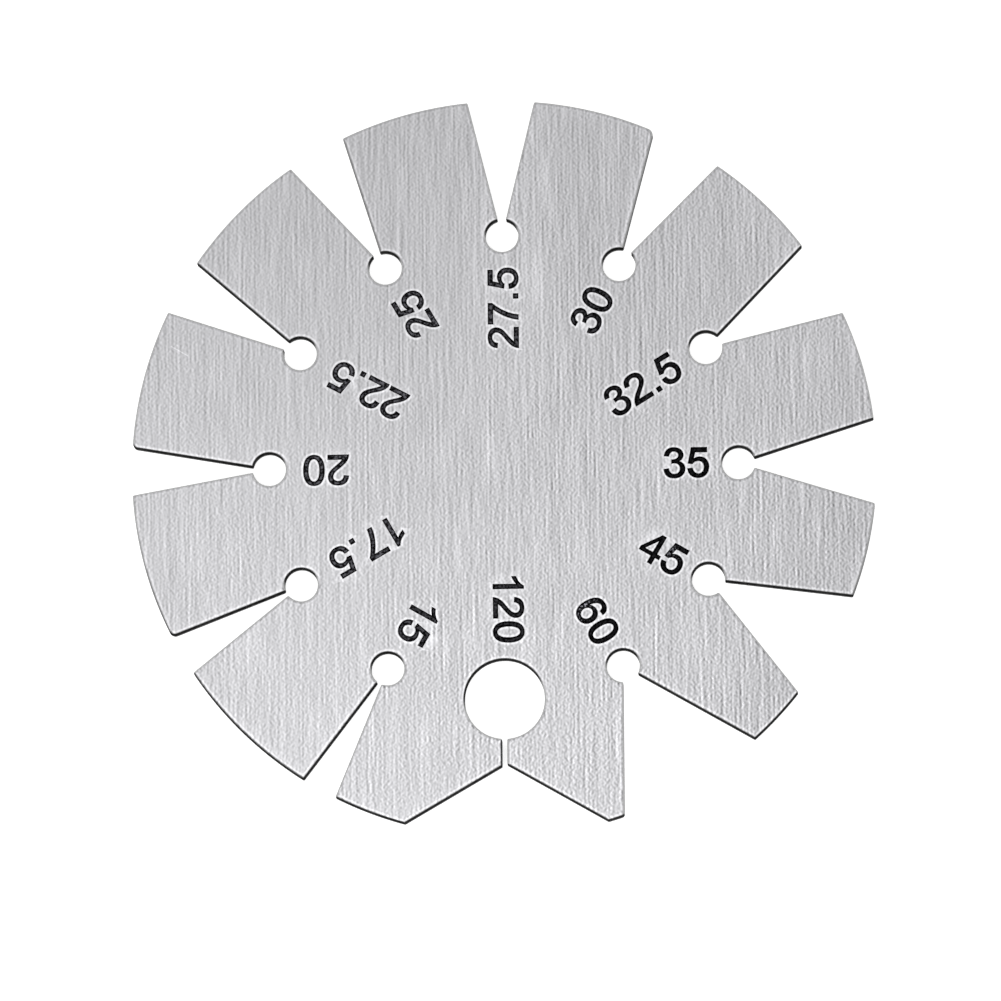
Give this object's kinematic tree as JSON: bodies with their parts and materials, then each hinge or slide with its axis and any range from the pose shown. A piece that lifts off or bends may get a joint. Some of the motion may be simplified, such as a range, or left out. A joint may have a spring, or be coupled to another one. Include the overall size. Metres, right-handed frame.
{
  "type": "bevel gauge",
  "caption": "Flat stainless disc gauge with numbered V notches of exact included angle around its rim, for checking bevel and point angles; hangs from a large hole.",
  "frame": {"origin": "centre of the disc, on its underside, which rests on the surface", "axes": "+Z out of the numbered face, -Y towards the wide 120 degree notch and the hanging hole, +X towards the 35 degree notch"},
  "size_m": [0.0537, 0.0529, 0.001],
  "materials": {
    "stainless_plate": "fine brushed stainless sheet, grain along Y, dark laser-cut edges, black engraved numbers"
  },
  "bodies": {
    "root": {"gauge_plate": "stainless_plate"}
  },
  "joints": []
}
